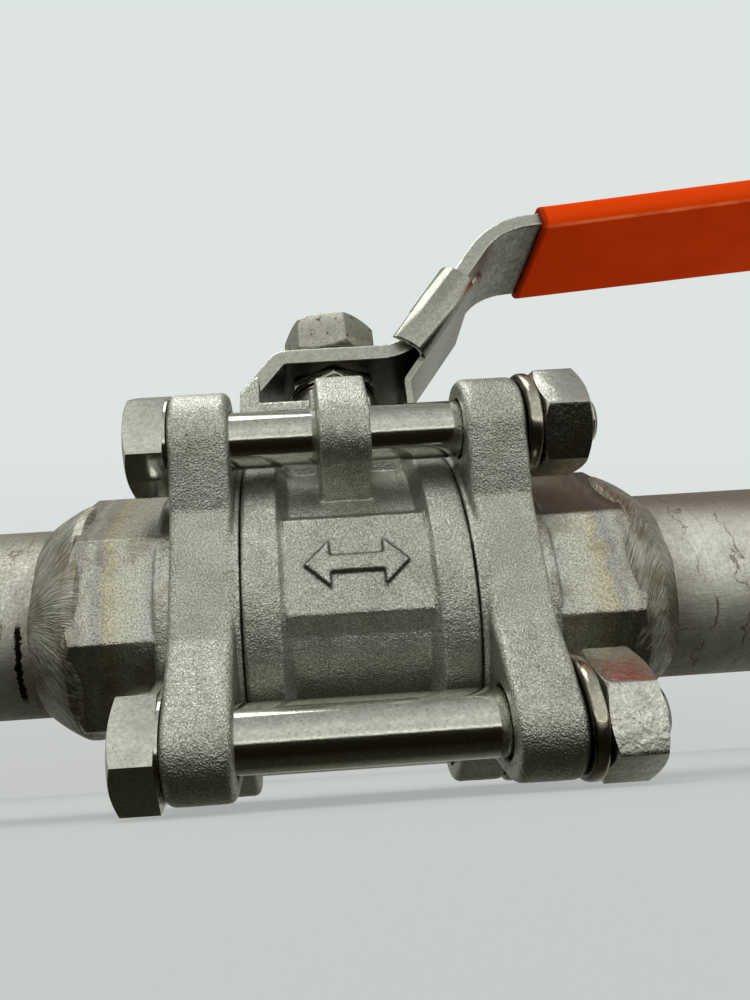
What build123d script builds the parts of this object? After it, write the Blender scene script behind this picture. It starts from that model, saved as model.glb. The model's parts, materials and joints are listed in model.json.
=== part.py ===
from build123d import *
import math
import os

os.makedirs("parts", exist_ok=True)

# Three-piece ball valve, DN25, welded between two cut pipe stubs.
# Origin: centre of the ball.  +X runs along the pipe, +Z up the stem.

# ---------------------------------------------------------------- dimensions
pipe_r = 16.7              # 1 inch pipe, 33.4 mm outside diameter
pipe_wall = 3.4
pipe_in_x = 35.0           # inner end of each stub, inside the socket
pipe_out_x = 105.0         # cut end of each stub

bolt_pitch = 47.0          # square pattern of the four body bolts
bolt_r = 4.85              # M10 shank
bolt_hole_r = 5.25
bolt_af = 16.0
head_h = 6.4
nut_h = 8.0
bolt_end_x = 41.9
spring_washer_t = 2.5

cap_in_x = 18.1            # joint face of each end cap
plate_in_x = 19.05         # inner face of the lug plate
plate_out_x = 29.0
web_half = 27.0            # flat sides of the plate between the lugs
crease = 9.9               # where the lugs start to swell
lug_r = 8.3
land_r = 26.8
collar_r = 21.9
collar_out_x = 32.3
hub_af = 40.5              # octagonal weld hub
hub_out_x = 47.4
socket_r = 16.85
socket_in_x = 33.5
flow_r = 12.5

body_half = 17.9           # centre body, joint face to mid plane
ring_r = 27.0
ring_in_x = 12.2
barrel_r = 24.6
barrel_half = 10.4
cavity_r = 20.2
pad_y = 25.7               # flat panel on the front and back
pad_half = 11.2
gasket_in_x = 16.5

ball_r = 19.0
seat_gap = 0.3
seat_out_r = 19.8
seat_in_x = 10.6
seat_out_x = 20.5
slot_w = 6.3
slot_floor = 14.2

stem_r = 5.5
thread_r = 5.0
collar_top = 22.4
flange_top = 31.2          # top of the cast flange round the stem
square_top = 34.6
square_half = 11.2
boss_r = 9.3
boss_top = 41.0
packing_bore_r = 7.4
packing_floor = 27.0
post_profile = [(14.6, 30.2), (14.6, 40.5), (16.4, 39.2), (18.2, 36.6), (18.2, 30.2)]

plate_t = 3.2              # lever sheet
lever_z = 47.4             # mid plane of the lever where it sits on the stem
lever_end_x = 152.0
neck_foot = (14.8, lever_z)
neck_top = (37.1, 77.1)
handle_rise = 0.087        # slope of the handle
grip_start_x = 47.2
grip_wall = 1.5

slide_t = 1.2              # sheet of the locking slide


# ------------------------------------------------------------------- helpers
def hex_prism(across_flats, x0, x1, hole_r, cone_start, cone_end):
    """Hexagon along X with turned corners at the chosen ends."""
    corner = across_flats / math.sqrt(3)
    cut = 0.9
    with BuildPart() as prism:
        with BuildSketch(Plane.YZ.offset(x0)):
            RegularPolygon(corner, 6)
            if hole_r > 0:
                Circle(hole_r, mode=Mode.SUBTRACT)
        extrude(amount=x1 - x0)
        with BuildSketch(Plane.XY):
            with BuildLine():
                r_face = across_flats / 2 - 0.2
                r_full = corner + 0.2
                start_r = r_face if cone_start else r_full
                end_r = r_face if cone_end else r_full
                Polyline(
                    (x0, 0),
                    (x0, start_r),
                    (x0 + cut, r_full),
                    (x1 - cut, r_full),
                    (x1, end_r),
                    (x1, 0),
                    close=True,
                )
            make_face()
        revolve(axis=Axis.X, mode=Mode.INTERSECT)
    return prism.part


def ring_of(profile):
    """Solid of revolution about the pipe axis from (x, r) points."""
    with BuildPart() as ring:
        with BuildSketch(Plane.XY):
            with BuildLine():
                Polyline(*profile, close=True)
            make_face()
        revolve(axis=Axis.X)
    return ring.part


def spindle_ring(profile):
    """Solid of revolution about the stem axis from (r, z) points."""
    with BuildPart() as ring:
        with BuildSketch(Plane.XZ):
            with BuildLine():
                Polyline(*profile, close=True)
            make_face()
        revolve(axis=Axis.Z)
    return ring.part


def side_plane(side, x):
    """Plane across the pipe at +x or -x, its normal pointing outwards."""
    return Plane(origin=(side * x, 0, 0), x_dir=(0, 1, 0), z_dir=(side, 0, 0))


bolt_half = bolt_pitch / 2
bolt_centres = [(y, z) for y in (-bolt_half, bolt_half) for z in (-bolt_half, bolt_half)]


# ------------------------------------------------------------------ end caps
def end_cap(side):
    """Lug plate, collar and octagonal weld hub on one side of the body."""
    reach = math.hypot(web_half - bolt_half, bolt_half - crease)
    angle = math.atan2(crease - bolt_half, web_half - bolt_half) + math.acos(lug_r / reach)
    tx = bolt_half + lug_r * math.cos(angle)
    ty = bolt_half + lug_r * math.sin(angle)
    with BuildPart() as cap:
        with BuildSketch(side_plane(side, plate_in_x)) as outline:
            Rectangle(2 * web_half, 2 * web_half)
            with Locations(*bolt_centres):
                Circle(lug_r)
            for sx in (-1, 1):
                for sy in (-1, 1):
                    with BuildLine():
                        Polyline(
                            (sx * 10, sy * 10),
                            (sx * web_half, sy * crease),
                            (sx * tx, sy * ty),
                            (sx * bolt_half, sy * bolt_half),
                            (sx * ty, sy * tx),
                            (sx * crease, sy * web_half),
                            close=True,
                        )
                    make_face()
            creases = [
                v
                for v in outline.vertices()
                if abs(min(abs(v.X), abs(v.Y)) - crease) < 0.01
            ]
            fillet(creases, 1.0)
        extrude(amount=plate_out_x - plate_in_x)
        rims = cap.edges().filter_by(
            lambda e: abs(e.center().X * side - plate_in_x) < 0.01
            or abs(e.center().X * side - plate_out_x) < 0.01
        )
        fillet(rims, 1.4)
        with BuildSketch(side_plane(side, cap_in_x)):
            Circle(land_r)
        extrude(amount=2.5)
        with BuildSketch(side_plane(side, plate_out_x - 1)):
            Circle(collar_r)
        extrude(amount=collar_out_x - plate_out_x + 1)
        collar_rim = cap.edges().filter_by(
            lambda e: e.geom_type == GeomType.CIRCLE
            and abs(e.center().X * side - collar_out_x) < 0.01
        )
        fillet(collar_rim, 0.8)
        with BuildSketch(side_plane(side, plate_out_x - 1)):
            RegularPolygon(hub_af / 2 / math.cos(math.pi / 8), 8, rotation=22.5)
        extrude(amount=hub_out_x - plate_out_x + 1)
        # turned chamfer on the end of the hub, under the weld
        with BuildSketch(Plane.XY):
            with BuildLine():
                Polyline(
                    (side * (hub_out_x - 2.2), 24),
                    (side * (hub_out_x - 2.2), 22.1),
                    (side * hub_out_x, 19.6),
                    (side * (hub_out_x + 1), 19.6),
                    (side * (hub_out_x + 1), 24),
                    close=True,
                )
            make_face()
        revolve(axis=Axis.X, mode=Mode.SUBTRACT)
        # bolt holes
        with BuildSketch(side_plane(side, plate_in_x - 1)):
            with Locations(*bolt_centres):
                Circle(bolt_hole_r)
        extrude(amount=plate_out_x - plate_in_x + 2, mode=Mode.SUBTRACT)
        # seat pocket, flow bore and pipe socket
        with BuildSketch(Plane.XY):
            with BuildLine():
                Polyline(
                    (side * (cap_in_x - 1), 0),
                    (side * (cap_in_x - 1), seat_out_r + 0.2),
                    (side * seat_out_x, seat_out_r + 0.2),
                    (side * seat_out_x, flow_r),
                    (side * socket_in_x, flow_r),
                    (side * socket_in_x, socket_r),
                    (side * (hub_out_x + 1), socket_r),
                    (side * (hub_out_x + 1), 0),
                    close=True,
                )
            make_face()
        revolve(axis=Axis.X, mode=Mode.SUBTRACT)
    return cap.part


def pipe_stub(side):
    """Cut length of pipe seated in the socket, its cut end broken slightly."""
    with BuildPart() as stub:
        with BuildSketch(side_plane(side, pipe_in_x)):
            Circle(pipe_r)
            Circle(pipe_r - pipe_wall, mode=Mode.SUBTRACT)
        extrude(amount=pipe_out_x - pipe_in_x)
        cut_rim = stub.edges().filter_by(
            lambda e: e.geom_type == GeomType.CIRCLE
            and abs(e.center().X * side - pipe_out_x) < 0.01
        )
        chamfer(cut_rim, 0.4)
    return stub.part


def weld_bead(side, cap_part):
    """Fillet weld from the hub down to the pipe."""
    with BuildPart() as bead:
        with BuildSketch(Plane.XY):
            with BuildLine():
                outer = Spline(
                    (side * 44.7, 20.1),
                    (side * 46.2, 21.0),
                    (side * 48.4, 20.1),
                    (side * 51.0, 18.45),
                    (side * 53.4, pipe_r),
                )
                Polyline(outer @ 1, (side * 44.7, pipe_r), outer @ 0)
            make_face()
        revolve(axis=Axis.X)
        add(cap_part, mode=Mode.SUBTRACT)
        with BuildSketch(side_plane(side, 40)):
            Circle(socket_r)
        extrude(amount=hub_out_x - 40, mode=Mode.SUBTRACT)
    return bead.part


def seat_ring(side):
    """Soft seat, hollowed to the ball."""
    hollow_r = ball_r + seat_gap
    low_r = flow_r + 0.2
    high_r = math.sqrt(hollow_r ** 2 - seat_in_x ** 2)
    low_x = math.sqrt(hollow_r ** 2 - low_r ** 2)
    mid_x = math.sqrt(hollow_r ** 2 - ((low_r + high_r) / 2) ** 2)
    with BuildPart() as seat:
        with BuildSketch(Plane.XY):
            with BuildLine():
                ThreePointArc(
                    (side * low_x, low_r),
                    (side * mid_x, (low_r + high_r) / 2),
                    (side * seat_in_x, high_r),
                )
                Polyline(
                    (side * seat_in_x, high_r),
                    (side * seat_in_x, seat_out_r),
                    (side * seat_out_x, seat_out_r),
                    (side * seat_out_x, low_r),
                    (side * low_x, low_r),
                )
            make_face()
        revolve(axis=Axis.X)
    return seat.part


def body_gasket(side):
    """Flat sealing ring between the body and one cap."""
    return ring_of([
        (side * gasket_in_x, 20.8),
        (side * gasket_in_x, 22.8),
        (side * cap_in_x, 22.8),
        (side * cap_in_x, 20.8),
    ])


for side, name in ((-1, "left"), (1, "right")):
    cap = end_cap(side)
    side_parts = {
        "end_cap": cap,
        "pipe_stub": pipe_stub(side),
        "weld_bead": weld_bead(side, cap),
        "seat_ring": seat_ring(side),
        "body_gasket": body_gasket(side),
    }
    for kind, solid in side_parts.items():
        solid.label = f"{name}_{kind}"
        export_step(solid, f"parts/{name}_{kind}.step")


# --------------------------------------------------------------- centre body
barrel_profile = [
    (-body_half, 10.0),
    (-body_half, ring_r - 0.5),
    (-body_half + 0.5, ring_r),
    (-ring_in_x, ring_r),
    (-barrel_half, barrel_r),
    (barrel_half, barrel_r),
    (ring_in_x, ring_r),
    (body_half - 0.5, ring_r),
    (body_half, ring_r - 0.5),
    (body_half, 10.0),
]
lug_outline = [
    (-17.0, 10.0),
    (-21.2, 12.6),
    (-27.6, 16.3),
    (-bolt_half, bolt_half),
    (-30.9, 27.4),
    (-27.6, 32.6),
    (-25.4, 33.9),
    (-14.6, 33.9),
    (-14.6, flange_top),
    (-8.0, flange_top),
]

with BuildPart() as center_body:
    with BuildSketch(Plane.XY):
        with BuildLine():
            Polyline(*barrel_profile, close=True)
        make_face()
    revolve(axis=Axis.X)
    # flat panels on the front and back, between the two rings
    with BuildSketch(Plane.YZ.offset(-pad_half)):
        for sy in (-1, 1):
            with BuildLine():
                Polyline(
                    (sy * 12, 12.5),
                    (sy * 22.6, 9.4),
                    (sy * pad_y, 8.1),
                    (sy * pad_y, -7.1),
                    (sy * 22.6, -9.6),
                    (sy * 12, -12.5),
                    close=True,
                )
            make_face()
    extrude(amount=2 * pad_half)
    # neck and flange under the stem, square pad and round packing boss
    with BuildSketch(Plane.XY.offset(14)):
        RectangleRounded(22.0, 27.0, 3.0)
    extrude(amount=flange_top - 14)
    with BuildSketch(Plane.XY.offset(28.4)) as flange:
        with BuildLine():
            Polyline(
                (-18.3, -16.3),
                (6.0, -16.3),
                (9.6, -11.2),
                (11.2, -11.2),
                (11.2, 11.4),
                (16.5, 15.2),
                (16.5, 18.2),
                (-6.0, 16.3),
                (-9.6, 11.2),
                (-11.2, 11.2),
                (-11.2, -11.6),
                (-18.3, -11.6),
                close=True,
            )
        make_face()
    extrude(amount=flange_top - 28.4)
    with BuildSketch(Plane.XY.offset(flange_top)):
        with Locations((-6.2, -15.45)):
            Rectangle(24.2, 1.7)
    extrude(amount=square_top - flange_top)
    with BuildSketch(Plane.XY.offset(flange_top - 1)) as square:
        Rectangle(2 * square_half, 2 * square_half)
        chamfer(square.vertices(), 3.6)
    extrude(amount=square_top - flange_top + 1)
    with BuildSketch(Plane.XY.offset(flange_top)):
        Circle(boss_r)
    extrude(amount=boss_top - flange_top)
    # the two stop posts for the lever tab, their outer shoulders sloped
    with BuildSketch(Plane.XZ.offset(11.6)):
        with BuildLine():
            Polyline(*[(-r, z) for r, z in post_profile], close=True)
        make_face()
    extrude(amount=4.7)
    with BuildSketch(Plane.YZ.offset(11.7)):
        with BuildLine():
            Polyline(*post_profile, close=True)
        make_face()
    extrude(amount=4.7)
    # ears that ride on the two upper bolts
    with BuildSketch(Plane.YZ.offset(-4.6)):
        for sy in (1, -1):
            with BuildLine():
                Polyline(*[(sy * y, z) for y, z in lug_outline], close=True)
            make_face()
            with Locations((-sy * bolt_half, bolt_half)):
                Circle(lug_r)
    extrude(amount=8.4)
    with BuildSketch(Plane.YZ.offset(-5.6)):
        for sy in (1, -1):
            with Locations((-sy * 18.6, 31.1)):
                Rectangle(8.0, 4.8)
    extrude(amount=1.2)
    # ball chamber, gasket recesses and bolt holes
    with BuildSketch(Plane.YZ.offset(-body_half - 1)):
        Circle(cavity_r)
    extrude(amount=2 * body_half + 2, mode=Mode.SUBTRACT)
    for side in (-1, 1):
        with BuildSketch(side_plane(side, gasket_in_x)):
            Circle(23.0)
        extrude(amount=3, mode=Mode.SUBTRACT)
    with BuildSketch(Plane.YZ.offset(-12)):
        with Locations((-bolt_half, bolt_half), (bolt_half, bolt_half)):
            Circle(bolt_hole_r)
    extrude(amount=24, mode=Mode.SUBTRACT)
    # stem passage
    with BuildSketch(Plane.XZ):
        with BuildLine():
            Polyline(
                (0, 10.0),
                (7.7, 10.0),
                (7.7, 24.0),
                (stem_r + 0.08, 24.0),
                (stem_r + 0.08, packing_floor),
                (packing_bore_r, packing_floor),
                (packing_bore_r, boss_top + 1),
                (0, boss_top + 1),
                close=True,
            )
        make_face()
    revolve(axis=Axis.Z, mode=Mode.SUBTRACT)
    # raised double arrow on the front panel: flow may go either way
    with BuildSketch(Plane(origin=(0, -pad_y, 0.6), x_dir=(1, 0, 0), z_dir=(0, -1, 0))):
        with BuildLine():
            Polyline(
                (-8.2, 0),
                (-4.2, 3.6),
                (-4.2, 1.3),
                (4.2, 1.3),
                (4.2, 3.6),
                (8.2, 0),
                (4.2, -3.6),
                (4.2, -1.3),
                (-4.2, -1.3),
                (-4.2, -3.6),
                close=True,
            )
        make_face()
    extrude(amount=0.8)
center_body.part.label = "center_body"
export_step(center_body.part, "parts/center_body.step")


# ------------------------------------------------------------- body fasteners
bolt_turn = {(-1, 1): 32.0, (-1, -1): 19.0, (1, 1): 12.0, (1, -1): 31.0}
nut_turn = {(-1, 1): 5.0, (-1, -1): 38.5, (1, 1): 22.0, (1, -1): 47.0}
bolt_head = hex_prism(bolt_af, -plate_out_x - 0.4 - head_h, -plate_out_x - 0.4, 0, True, False)
bolt_nut = hex_prism(
    bolt_af,
    plate_out_x + spring_washer_t,
    plate_out_x + spring_washer_t + nut_h,
    bolt_r + 0.05,
    True,
    True,
)

with BuildPart() as body_bolts:
    for (sy, sz), turn in bolt_turn.items():
        spot = Location((0, sy * bolt_half, sz * bolt_half))
        with Locations(spot * Location((0, 0, 0), (turn, 0, 0))):
            add(bolt_head)
        with BuildSketch(Plane.YZ.offset(-plate_out_x - 0.4)):
            with Locations((sy * bolt_half, sz * bolt_half)):
                Circle(7.9)
        extrude(amount=0.4)
        with BuildSketch(Plane.YZ.offset(-plate_out_x - 1)):
            with Locations((sy * bolt_half, sz * bolt_half)):
                Circle(bolt_r)
        extrude(amount=bolt_end_x + plate_out_x + 1)
    bolt_tips = body_bolts.edges().filter_by(
        lambda e: e.geom_type == GeomType.CIRCLE and abs(e.center().X - bolt_end_x) < 0.01
    )
    chamfer(bolt_tips, 1.2)
body_bolts.part.label = "body_bolts"
export_step(body_bolts.part, "parts/body_bolts.step")

with BuildPart() as bolt_nuts:
    for (sy, sz), turn in nut_turn.items():
        spot = Location((0, sy * bolt_half, sz * bolt_half))
        with Locations(spot * Location((0, 0, 0), (turn, 0, 0))):
            add(bolt_nut)
bolt_nuts.part.label = "bolt_nuts"
export_step(bolt_nuts.part, "parts/bolt_nuts.step")

with BuildPart() as bolt_spring_washers:
    with BuildSketch(Plane.YZ.offset(plate_out_x)):
        with Locations(*bolt_centres):
            Circle(8.8)
            Circle(bolt_hole_r, mode=Mode.SUBTRACT)
    extrude(amount=spring_washer_t)
    washer_rims = bolt_spring_washers.edges().filter_by(
        lambda e: e.geom_type == GeomType.CIRCLE and e.radius > 8
    )
    fillet(washer_rims, 1.0)
    # the slanted split of each washer, turned to a different side
    for (y, z), turn in zip(bolt_centres, (300, 250, 130, 60)):
        cut = Location((plate_out_x + spring_washer_t / 2, y, z), (turn, 0, 0))
        with Locations(cut * Location((0, 0, 7), (0, 25, 0))):
            Box(6.0, 0.8, 6.0, mode=Mode.SUBTRACT)
bolt_spring_washers.part.label = "bolt_spring_washers"
export_step(bolt_spring_washers.part, "parts/bolt_spring_washers.step")


# ----------------------------------------------------- stem sealing, in body
stem_thrust_washer = spindle_ring([(5.7, collar_top), (7.5, collar_top), (7.5, 24.0), (5.7, 24.0)])
stem_thrust_washer.label = "stem_thrust_washer"
export_step(stem_thrust_washer, "parts/stem_thrust_washer.step")

with BuildPart() as stem_packing:
    for level in range(3):
        z0 = packing_floor + 0.1 + 2.6 * level
        with BuildSketch(Plane.XZ):
            with BuildLine():
                Polyline(
                    (5.6, z0),
                    (6.5, z0 + 0.6),
                    (7.35, z0),
                    (7.35, z0 + 1.7),
                    (6.5, z0 + 2.3),
                    (5.6, z0 + 1.7),
                    close=True,
                )
            make_face()
        revolve(axis=Axis.Z)
stem_packing.part.label = "stem_packing"
export_step(stem_packing.part, "parts/stem_packing.step")

gland_ring = spindle_ring([
    (5.6, 35.2),
    (7.3, 35.2),
    (7.3, boss_top),
    (8.9, boss_top),
    (8.9, boss_top + 0.9),
    (5.6, boss_top + 0.9),
])
gland_ring.label = "gland_ring"
export_step(gland_ring, "parts/gland_ring.step")


# ------------------------------------------------------- ball, stem and lever
with BuildPart() as ball:
    Sphere(ball_r)
    with BuildSketch(Plane.YZ.offset(-ball_r)):
        Circle(flow_r)
    extrude(amount=2 * ball_r, mode=Mode.SUBTRACT)
    with Locations((0, 0, slot_floor + 5)):
        Box(slot_w, 40, 10, mode=Mode.SUBTRACT)
ball.part.label = "ball"
export_step(ball.part, "parts/ball.step")

with BuildPart() as stem:
    with Locations((0, 0, 17.5)):
        Box(6.0, 11.0, 6.0)
    with BuildSketch(Plane.XZ):
        with BuildLine():
            Polyline(
                (0, 20.3),
                (7.3, 20.3),
                (7.3, collar_top),
                (stem_r, collar_top),
                (stem_r, 41.6),
                (thread_r, 42.1),
                (thread_r, 60.0),
                (thread_r - 0.7, 60.7),
                (0, 60.7),
                close=True,
            )
        make_face()
    revolve(axis=Axis.Z)
    for sy in (-1, 1):
        with Locations((0, sy * 7.9, 53.25)):
            Box(12, 8.0, 14.9, mode=Mode.SUBTRACT)
stem.part.label = "stem"
export_step(stem.part, "parts/stem.step")

with BuildPart() as belleville_washers:
    for z0, flip in ((41.95, 1), (42.75, -1)):
        low = z0 if flip < 0 else z0 + 0.25
        high = z0 + 0.25 if flip < 0 else z0
        with BuildSketch(Plane.XZ):
            with BuildLine():
                Polyline((5.3, low), (9.0, high), (9.0, high + 0.5), (5.3, low + 0.5), close=True)
            make_face()
        revolve(axis=Axis.Z)
belleville_washers.part.label = "belleville_washers"
export_step(belleville_washers.part, "parts/belleville_washers.step")

stem_nut_blank = hex_prism(16.0, 43.55, lever_z - plate_t / 2, thread_r + 0.05, True, True)
with BuildPart() as packing_nut:
    add(stem_nut_blank, rotation=(0, -90, 0))
packing_nut.part.label = "packing_nut"
export_step(packing_nut.part, "parts/packing_nut.step")

lever_top = lever_z + plate_t / 2
with BuildPart() as lever_washer:
    with BuildSketch(Plane.XY.offset(lever_top)):
        Circle(8.2)
        Circle(5.2, mode=Mode.SUBTRACT)
    extrude(amount=2.2)
    outer_rims = lever_washer.edges().filter_by(
        lambda e: e.geom_type == GeomType.CIRCLE and e.radius > 8
    )
    fillet(outer_rims, 0.5)
    with Locations(Location((0, 6.7, lever_top + 1.1), (0, 25, 0))):
        Box(0.8, 6, 6, mode=Mode.SUBTRACT)
lever_washer.part.label = "lever_washer"
export_step(lever_washer.part, "parts/lever_washer.step")

lever_nut_blank = hex_prism(17.0, lever_top + 2.2, lever_top + 10.4, thread_r + 0.05, True, True)
with BuildPart() as lever_nut:
    with Locations(Location((0, 0, 0), (0, 0, 18))):
        add(lever_nut_blank, rotation=(0, -90, 0))
lever_nut.part.label = "lever_nut"
export_step(lever_nut.part, "parts/lever_nut.step")

neck_run = neck_top[0] - neck_foot[0]
neck_lift = neck_top[1] - neck_foot[1]
neck_len = math.hypot(neck_run, neck_lift)
ux = neck_run / neck_len
uz = neck_lift / neck_len
boss_plane = Plane(
    origin=(neck_foot[0] + 26.8 * ux, 0, neck_foot[1] + 26.8 * uz),
    x_dir=(0, 1, 0),
    z_dir=(-uz, 0, ux),
)
handle_end_z = neck_top[1] + handle_rise * (lever_end_x - neck_top[0])
with BuildPart() as lever:
    with BuildLine(Plane.XZ) as bend_line:
        Polyline(
            (-17.5, 38.9),
            (-10.6, lever_z),
            neck_foot,
            neck_top,
            (lever_end_x, handle_end_z),
        )
        for x, radius in ((-10.6, 2.6), (neck_foot[0], 11.0), (neck_top[0], 16.0)):
            fillet([v for v in bend_line.vertices() if abs(v.X - x) < 0.01], radius)
    foot_plane = Plane(
        origin=bend_line.wire() @ 0,
        x_dir=(0, 1, 0),
        z_dir=bend_line.wire() % 0,
    )
    with BuildSketch(foot_plane):
        Rectangle(30, plate_t)
    sweep(path=bend_line.wire())
    # round boss pressed out of the underside, the slide's upper stop
    with BuildSketch(boss_plane.offset(-plate_t / 2 - 0.8)):
        Circle(5.2)
    extrude(amount=1.6, taper=-20)
    # plan outline: parallel neck, handle widening to a round end
    with BuildSketch(Plane.XY.offset(20)):
        with BuildLine():
            Polyline((-30, -11.0), (14, -11.0), (24, -11.6), (46, -12.3), (138, -13.7))
            ThreePointArc((138, -13.7), (151.5, 0), (138, 13.7))
            Polyline((138, 13.7), (46, 12.3), (24, 11.6), (14, 11.0), (-30, 11.0), (-30, -11.0))
        make_face()
    extrude(amount=80, mode=Mode.INTERSECT)
    # flatted hole over the stem
    with BuildSketch(Plane.XY.offset(40)):
        Circle(thread_r + 0.1)
        Rectangle(14, 2 * 4.0, mode=Mode.INTERSECT)
    extrude(amount=12, mode=Mode.SUBTRACT)
lever.part.label = "lever"
export_step(lever.part, "parts/lever.step")

rise = math.atan(handle_rise)
grip_plane = Plane(
    origin=(grip_start_x, 0, neck_top[1] + handle_rise * (grip_start_x - neck_top[0])),
    x_dir=(math.cos(rise), 0, math.sin(rise)),
    z_dir=(-math.sin(rise), 0, math.cos(rise)),
)
with BuildPart() as lever_grip:
    with BuildSketch(grip_plane.offset(-plate_t / 2 - grip_wall)):
        with BuildLine():
            Polyline((0, -13.85), (90.8, -15.2))
            ThreePointArc((90.8, -15.2), (105.8, 0), (90.8, 15.2))
            Polyline((90.8, 15.2), (0, 13.85), (0, -13.85))
        make_face()
    extrude(amount=plate_t + 2 * grip_wall)
    long_rims = lever_grip.edges().filter_by(
        lambda e: abs(e.center().X - grip_start_x) > 2 and e.length > 20
    )
    fillet(long_rims, 2.4)
    add(lever.part, mode=Mode.SUBTRACT)
lever_grip.part.label = "lever_grip"
export_step(lever_grip.part, "parts/lever_grip.step")


# -------------------------------------------------------------- locking slide
neck_plane = Plane(origin=(neck_foot[0], 0, neck_foot[1]), x_dir=(0, 1, 0), z_dir=(ux, 0, uz))
slide_low = -plate_t / 2 - 1.2 - slide_t
slide_high = plate_t / 2 + 1.4 + slide_t
slide_mid = (slide_low + slide_high) / 2
slide_deep = slide_high - slide_low
slide_half = 13.8


def neck_point(along, off):
    """Point in the XZ plane, along the neck and off its mid plane."""
    return (neck_foot[0] + along * ux - off * uz, neck_foot[1] + along * uz + off * ux)


with BuildPart() as lock_slide:
    with BuildSketch(neck_plane.offset(0.5)):
        with Locations((0, slide_mid)):
            RectangleRounded(2 * slide_half, slide_deep, 3.4)
            RectangleRounded(
                2 * (slide_half - slide_t),
                slide_deep - 2 * slide_t,
                2.0,
                mode=Mode.SUBTRACT,
            )
    extrude(amount=20.3)
    # the upper wall starts higher up, clear of the bend of the lever
    with BuildSketch(neck_plane.offset(0)):
        with Locations((0, slide_mid + slide_deep / 2)):
            Rectangle(2 * 12.2, slide_deep)
    extrude(amount=8.5, mode=Mode.SUBTRACT)
    # lower wall carried down and bent upright into the locking tongue
    with BuildLine(Plane.XZ) as tongue_line:
        off = slide_low + slide_t / 2
        knee = neck_point(-5.4, off)
        Polyline(neck_point(2.0, off), knee, (knee[0], 35.2))
        fillet([v for v in tongue_line.vertices() if abs(v.Z - knee[1]) < 0.01], 2.2)
    tongue_start = Plane(
        origin=tongue_line.wire() @ 0,
        x_dir=(0, 1, 0),
        z_dir=tongue_line.wire() % 0,
    )
    with BuildSketch(tongue_start):
        Rectangle(2 * 10.6, slide_t)
    sweep(path=tongue_line.wire())
lock_slide.part.label = "lock_slide"
export_step(lock_slide.part, "parts/lock_slide.step")
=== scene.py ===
import itertools
import json
import math

import bmesh
import bpy
import numpy as np
from mathutils import Matrix, Vector

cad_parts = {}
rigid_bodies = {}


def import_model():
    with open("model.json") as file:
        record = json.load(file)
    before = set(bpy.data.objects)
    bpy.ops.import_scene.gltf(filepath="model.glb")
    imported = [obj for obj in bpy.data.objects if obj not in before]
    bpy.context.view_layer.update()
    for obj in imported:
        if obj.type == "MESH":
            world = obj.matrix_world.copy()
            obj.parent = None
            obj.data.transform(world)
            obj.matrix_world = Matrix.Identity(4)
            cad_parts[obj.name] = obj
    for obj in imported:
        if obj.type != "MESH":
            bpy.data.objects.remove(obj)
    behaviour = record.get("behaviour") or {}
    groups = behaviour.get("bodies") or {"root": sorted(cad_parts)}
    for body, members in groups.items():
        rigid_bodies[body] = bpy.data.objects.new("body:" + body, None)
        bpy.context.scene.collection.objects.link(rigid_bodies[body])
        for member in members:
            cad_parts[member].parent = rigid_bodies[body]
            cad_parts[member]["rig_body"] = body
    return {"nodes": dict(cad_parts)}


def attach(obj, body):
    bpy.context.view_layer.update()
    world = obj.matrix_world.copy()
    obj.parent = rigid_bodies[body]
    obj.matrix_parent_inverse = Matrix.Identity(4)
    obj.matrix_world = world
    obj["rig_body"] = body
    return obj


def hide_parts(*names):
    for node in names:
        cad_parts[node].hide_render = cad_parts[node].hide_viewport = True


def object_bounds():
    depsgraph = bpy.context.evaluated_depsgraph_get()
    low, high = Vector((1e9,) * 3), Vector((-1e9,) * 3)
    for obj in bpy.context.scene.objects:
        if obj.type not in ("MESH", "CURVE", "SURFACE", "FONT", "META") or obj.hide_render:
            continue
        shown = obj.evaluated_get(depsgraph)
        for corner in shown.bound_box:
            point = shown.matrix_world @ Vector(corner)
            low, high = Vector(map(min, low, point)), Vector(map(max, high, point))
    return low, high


# Looks of a three-piece ball valve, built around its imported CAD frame.
# Blender works in metres; MM turns the valve's own millimetres into metres.

MM = 0.001

# Places and measures in millimetres that the looks are tied to.
HUB_FACE = 29.3                 # x past which a cap looks like weld hub, not plate
THREAD_START = 38.2             # x past which the bolts show a thread
THREAD_PITCH = 1.0
PANEL_FRONT = -25.2             # y just behind the face of the front panel
ARROW_HEIGHT = 0.6              # z of the arrow's middle
EAR_OUT, EAR_UP = 17.8, 13.0    # the upper ears stand further out in y and up in z,
EAR_HALF = 7.0                  # and no further than this from the middle in x
WELD_RADIUS, WELD_INNER = 20.0, 16.0
WELD_WIDTH = 9.0
WELD_REACH = 1.6                # how far the ripples' noise runs across a bead: they stay long

# Counts: rows across a weld bead, points round it, cuts in a bevel, rounds of smoothing.
WELD_ROWS, WELD_STEPS = 64, 1400
BEVEL_STEPS = 2
CAST_ROUNDS, EAR_ROUNDS = 3, 12

# Degrees: faces closer to level than the first are one, and edges sharper than the second
# are eased. Shading breaks past the others, on crisp pieces, on welds and nowhere.
FLAT_ANGLE, CORNER_ANGLE, CRISP_ANGLE, WELD_ANGLE, ALL_SMOOTH = 0.6, 28, 32, 60, 180

# Metres: vertices this close are one; the floor's drop below the valve and its half width.
MERGE_WITHIN = 2e-6
FLOOR_GAP, FLOOR_HALF = 0.0002, 6.0

# Ways in the sky that the room's tones follow: up and ahead, as the camera stands.
ROOM_UP = (0.0583, -0.4058, 0.9121)
ROOM_BACK = (0.026, 0.914, 0.405)

WORN_AND_HIGHLIT = (0.95, 0.95, 0.90)       # rubbed edges of the castings, lighter also as painted highlight
HASH_AXES = (73856093, 19349663, 83492791)    # large primes that scramble a lattice place

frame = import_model()
cad_low, cad_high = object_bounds()
nodes = frame["nodes"]


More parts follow.
